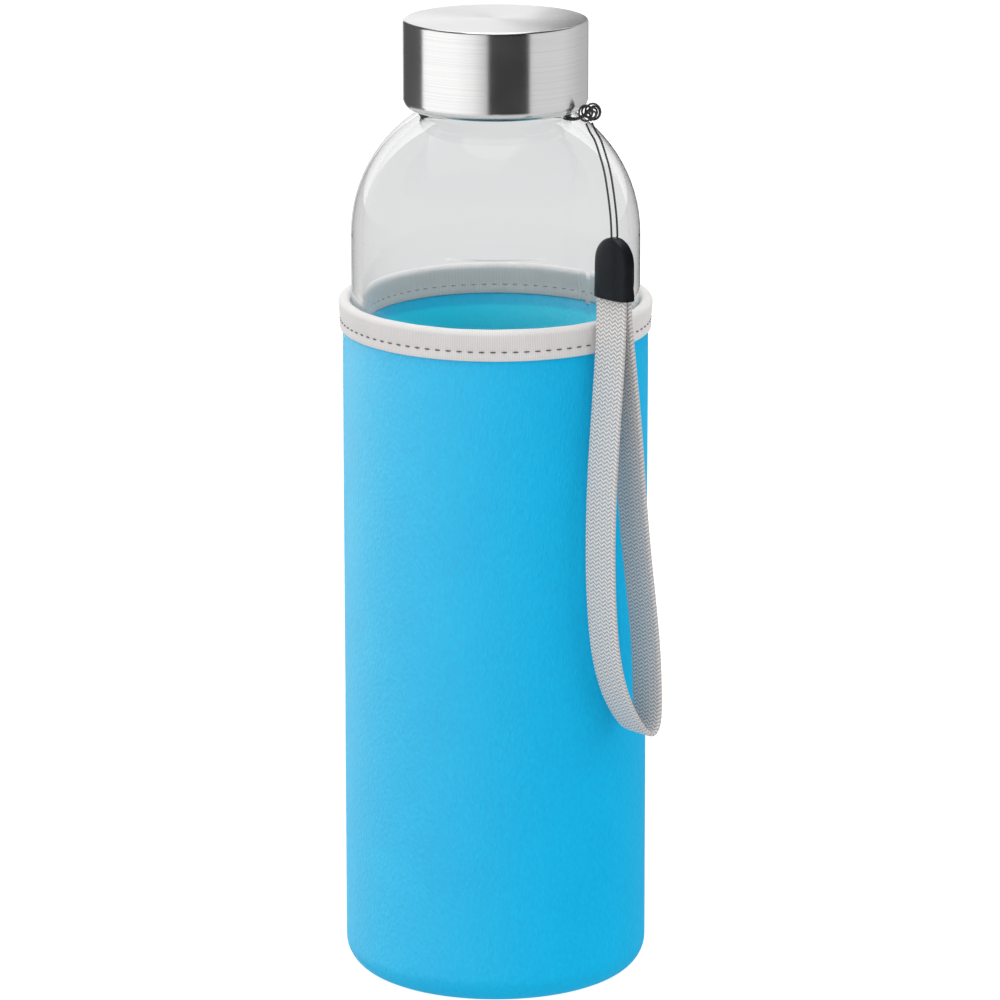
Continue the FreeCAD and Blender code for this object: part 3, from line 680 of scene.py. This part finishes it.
# ---- Strap clamp
# A black moulded end piece, bullet-shaped, closed over the webbing's ends and the cord's ends. Its surface has
# the fine spark-eroded texture of its mould.
clamp_material, tree, shader = new_material("clamp plastic", (0.006, 0.007, 0.009), Roughness=0.4,
                                            Specular_IOR_Level=0.3)
place = add_node(tree, "ShaderNodeTexCoord").outputs["Object"]
normal, spark = grain(tree, place, 2600.0, 0.3, 0.00005)
spark_rough = add_node(tree, "ShaderNodeMapRange", {"Value": spark, "To Min": 0.34, "To Max": 0.5})
tree.links.new(colour_ramp(tree, spark, (0.3, (0.004, 0.005, 0.007)), (0.7, (0.009, 0.011, 0.015))),
               shader.inputs["Base Color"])
tree.links.new(spark_rough.outputs["Result"], shader.inputs["Roughness"])
tree.links.new(normal, shader.inputs["Normal"])
finish_node("strap_clamp", clamp_material)


# ---- Strap webbing
# The hand loop is one length of flat polyester braid, 9.5 mm wide, with both ends held in the clamp.
# Its plaits cross in slanting pairs, and it folds tightly at the bottom with its width standing out.
webbing_width = 0.0095
webbing_thickness = 0.0012
clamp_low, clamp_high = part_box("strap_clamp")
clamp_foot = Vector(((clamp_low.x + clamp_high.x) / 2, (clamp_low.y + clamp_high.y) / 2, clamp_low.z))
webbing_route = [
    (-0.00065, 0.0060),
    (-0.00068, 0.0002),
    (-0.0009, -0.0095),
    (-0.0019, -0.0230),
    (-0.0033, -0.0400),
    (-0.0038, -0.0580),
    (-0.0031, -0.0725),
    (-0.0017, -0.0825),
    (0.0007, -0.0900),
    (0.0036, -0.0954),
    (0.0064, -0.0990),
    (0.0084, -0.1005),
    (0.0101, -0.0986),
    (0.0105, -0.0950),
    (0.0104, -0.0895),
    (0.0099, -0.0805),
    (0.0086, -0.0700),
    (0.0069, -0.0580),
    (0.0054, -0.0450),
    (0.0041, -0.0300),
    (0.0023, -0.0155),
    (0.00085, -0.0045),
    (0.00067, 0.0002),
    (0.00065, 0.0047),
]
webbing_line = smooth_line("webbing", [clamp_foot + Vector((0, across, up)) for across, up in webbing_route], 0.0008)
webbing_samples = along_line(webbing_line, 620)
webbing_length = webbing_samples[-1][2]
plait_columns = 10
plait_pitch = 0.0009
edge_pick = 0.00010


def webbing_point(ring, turn):
    """Point on the braid's skin: two flat faces with rounded edges, where each pick turns back as a small bump."""
    position, direction, distance = webbing_samples[ring]
    out = direction.cross(Vector((1, 0, 0)))
    angle = math.tau * turn
    across = math.copysign(abs(math.cos(angle)) ** 0.5, math.cos(angle))
    rise = math.copysign(abs(math.sin(angle)) ** 0.4, math.sin(angle))
    pick = edge_pick * (0.5 + 0.5 * math.cos(math.tau * distance / plait_pitch / 1.5)) * across ** 8
    return (position + Vector((math.copysign(webbing_width / 2 - pick, across) * abs(across), 0, 0))
            + out * rise * (webbing_thickness / 2 - 0.00004))


webbing_material, tree, shader = new_material("webbing braid", (0.74, 0.72, 0.71), Roughness=0.8, Sheen_Weight=0.15)
place = add_node(tree, "ShaderNodeTexCoord").outputs["Object"]
pattern = add_node(tree, "ShaderNodeUVMap", uv_map="pattern")
spread = add_node(tree, "ShaderNodeSeparateXYZ", {"Vector": pattern.outputs["UV"]})
column = add_node(tree, "ShaderNodeMath", {0: spread.outputs["Y"], 1: 1.0}, operation="PINGPONG")
slant = add_node(tree, "ShaderNodeMath", {0: column.outputs["Value"], 1: 0.8, 2: spread.outputs["X"]},
                 operation="MULTIPLY_ADD")
turned = add_node(tree, "ShaderNodeMath", {0: slant.outputs["Value"], 1: math.tau}, operation="MULTIPLY")
wave = add_node(tree, "ShaderNodeMath", {0: turned.outputs["Value"]}, operation="COSINE")
pick = add_node(tree, "ShaderNodeMapRange", {"Value": wave.outputs["Value"], "From Min": -0.9, "From Max": 0.35})
gutter = add_node(tree, "ShaderNodeMath", {0: spread.outputs["Y"], 1: 0.5}, operation="PINGPONG")
gutter_edge = add_node(tree, "ShaderNodeMapRange", {"Value": gutter.outputs["Value"], "From Max": 0.16,
                                                    "To Min": 0.35})
plait_height_and_painted_shade = add_node(tree, "ShaderNodeMath", {0: pick.outputs["Result"], 1: gutter_edge.outputs["Result"]},
                 operation="MULTIPLY")
normal, yarn = grain(tree, place, 5200.0, 0.4, 0.00005)
plait_bump = add_node(tree, "ShaderNodeBump", {"Height": plait_height_and_painted_shade.outputs["Value"], "Strength": 0.7,
                                               "Distance": 0.00014, "Normal": normal})
# The braid's colour follows the plait height: painted shade, darker in the gutters between columns and in the dips
# between picks, mixed with the yarn's own grain.
lit = add_node(tree, "ShaderNodeMix", {"Factor": 0.25, "A": plait_height_and_painted_shade.outputs["Value"], "B": yarn}, data_type="FLOAT")
tree.links.new(colour_ramp(tree, lit.outputs["Result"], (0.1, (0.36, 0.33, 0.33)), (0.5, (0.68, 0.66, 0.655)),
                           (0.85, (0.83, 0.82, 0.81))), shader.inputs["Base Color"])
tree.links.new(plait_bump.outputs["Normal"], shader.inputs["Normal"])

bm = bmesh.new()
wrapped_tube(bm, len(webbing_samples), 40, webbing_point)
uv = bm.loops.layers.uv["pattern"]
for face in bm.faces:
    for loop in face.loops:
        along, turn = loop[uv].uv
        angle = math.tau * turn
        across = math.copysign(abs(math.cos(angle)) ** 0.5, math.cos(angle))
        loop[uv].uv = (along * webbing_length / plait_pitch, (across + 1) / 2 * plait_columns)
webbing = add_piece("webbing", bm, webbing_material, "strap")
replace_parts(webbing, "strap_webbing")


# ---- Studio
# A plain white floor and a soft overhead light. Curved cards shape the steel: bright on the left, dark in front and
# behind left, grey on the right. One more card lights the sleeve only, and one small light the clamp only.
ray_kinds = ("camera", "diffuse", "glossy", "transmission", "shadow")


def add_card(name, radius, low, high, levels, tint=(1.0, 1.0, 1.0)):
    """Upright curved card round the bottle whose glow runs through (bearing, level) pairs, bearings in degrees
    to the camera's right."""
    bm = bmesh.new()
    first, last = levels[0][0], levels[-1][0]
    turn = math.radians(first)
    foot = bm.verts.new(studio_place(radius * math.sin(turn), radius * math.cos(turn), low))
    top = bm.verts.new(foot.co + Vector((0, 0, high - low)))
    edge = bm.edges.new((foot, top))
    steps = max(4, round((last - first) / 3))
    bmesh.ops.spin(bm, geom=[foot, top, edge], cent=(0, 0, 0), axis=(0, 0, 1), angle=math.radians(last - first),
                   steps=steps)
    glow = bm.verts.layers.float.new("glow")
    rightward, nearward = studio_place(1, 0, 0), studio_place(0, 1, 0)
    for vertex in bm.verts:
        bearing = math.degrees(math.atan2(vertex.co.dot(rightward), vertex.co.dot(nearward)))
        for (start, start_level), (end, end_level) in zip(levels, levels[1:]):
            if start - 0.5 <= bearing <= end + 0.5:
                share = min(1, max(0, (bearing - start) / (end - start)))
                vertex[glow] = start_level + (end_level - start_level) * share
    mesh = bpy.data.meshes.new(name)
    bm.to_mesh(mesh)
    bm.free()
    card = bpy.data.objects.new(name, mesh)
    material, tree, shader = new_material(name, (0.0, 0.0, 0.0), Roughness=1.0, Specular_IOR_Level=0.0)
    shader.inputs["Emission Color"].default_value = (*tint, 1)
    level = add_node(tree, "ShaderNodeAttribute", attribute_name="glow")
    tree.links.new(level.outputs["Fac"], shader.inputs["Emission Strength"])
    mesh.materials.append(material)
    for ray in ray_kinds:
        setattr(card, f"visible_{ray}", ray == "glossy")
    bpy.context.collection.objects.link(card)
    return card


add_card("dark_card_front", 0.50, 0.0, 0.8, ((-9, 0.0), (42, 0.0)))
add_card("dark_card_back_left", 0.50, 0.0, 0.6, ((-160, 0.1), (-101, 0.1)))
add_card("dark_flag_above", 0.49, 0.52, 1.5, ((-135, 0.03), (135, 0.03)))
cap_cards = [
    add_card("bright_card_left", 0.50, 0.0, 0.6, ((-101, 1.3), (-50, 1.3), (-28, 1.12), (-18, 0.85), (-9, 0.6))),
    add_card("grey_card_right", 0.50, 0.0, 0.6, ((42, 0.8), (90, 0.8), (125, 0.6), (155, 0.5), (178, 0.15))),
]
sleeve_cards = [add_card("bright_card_for_sleeve", 0.9, 0.05, 1.2, ((-150, 26.0), (-14, 26.0)),
                         tint=(1.0, 0.96, 0.6))]


def light_only(name, lights, pieces):
    """Let lights or cards light these pieces and no others."""
    group = bpy.data.collections.new(name)
    for piece in pieces:
        group.objects.link(piece)
    for light in lights:
        light.light_linking.receiver_collection = group


light_only("lit_by_cap_cards", cap_cards, [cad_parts["cap_shell"]])
light_only("lit_by_sleeve_cards", sleeve_cards, [wall, sole])


def add_floor(name, height, colour, glow, seen_by):
    """Wide level floor with its own glow, seen only by some kinds of ray."""
    bm = bmesh.new()
    bmesh.ops.create_grid(bm, x_segments=2, y_segments=2, size=6)
    bmesh.ops.translate(bm, verts=bm.verts, vec=(0, 0, height))
    mesh = bpy.data.meshes.new(name)
    bm.to_mesh(mesh)
    bm.free()
    floor = bpy.data.objects.new(name, mesh)
    material, tree, shader = new_material(name, colour, Roughness=0.9, Specular_IOR_Level=0.0)
    shader.inputs["Emission Color"].default_value = (1, 1, 1, 1)
    shader.inputs["Emission Strength"].default_value = glow
    mesh.materials.append(material)
    for ray in ray_kinds:
        setattr(floor, f"visible_{ray}", ray in seen_by)
    bpy.context.collection.objects.link(floor)


add_floor("floor", 0.0, (0.2, 0.2, 0.2), 0.95, ("camera",))
add_floor("grey_sweep", -0.0002, (0.0, 0.0, 0.0), 0.76, ("diffuse", "glossy", "transmission"))

def add_light(name, size, energy, place, target, colour=(1.0, 1.0, 1.0)):
    """Square soft light at a place, aimed at a target."""
    light = bpy.data.objects.new(name, bpy.data.lights.new(name, "AREA"))
    light.data.size = size
    light.data.energy = energy
    light.data.color = colour
    light.location = place
    light.rotation_euler = (target - place).to_track_quat("-Z", "Y").to_euler()
    bpy.context.collection.objects.link(light)
    return light


add_light("top_light", 2.4, 22, studio_place(-0.5, -0.2, 2.2), Vector((0, 0, 0.1)))
clamp_light = add_light("clamp_light", 0.3, 1.6, studio_place(-0.42, 0.42, 0.3), clamp_foot, (0.84, 0.93, 1.0))
light_only("lit_by_clamp_light", [clamp_light], [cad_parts["strap_clamp"]])

world = bpy.data.worlds.new("studio")
world.use_nodes = True
world.node_tree.nodes["Background"].inputs["Color"].default_value = (1, 1, 1, 1)
world.node_tree.nodes["Background"].inputs["Strength"].default_value = 1.05
bpy.context.scene.world = world
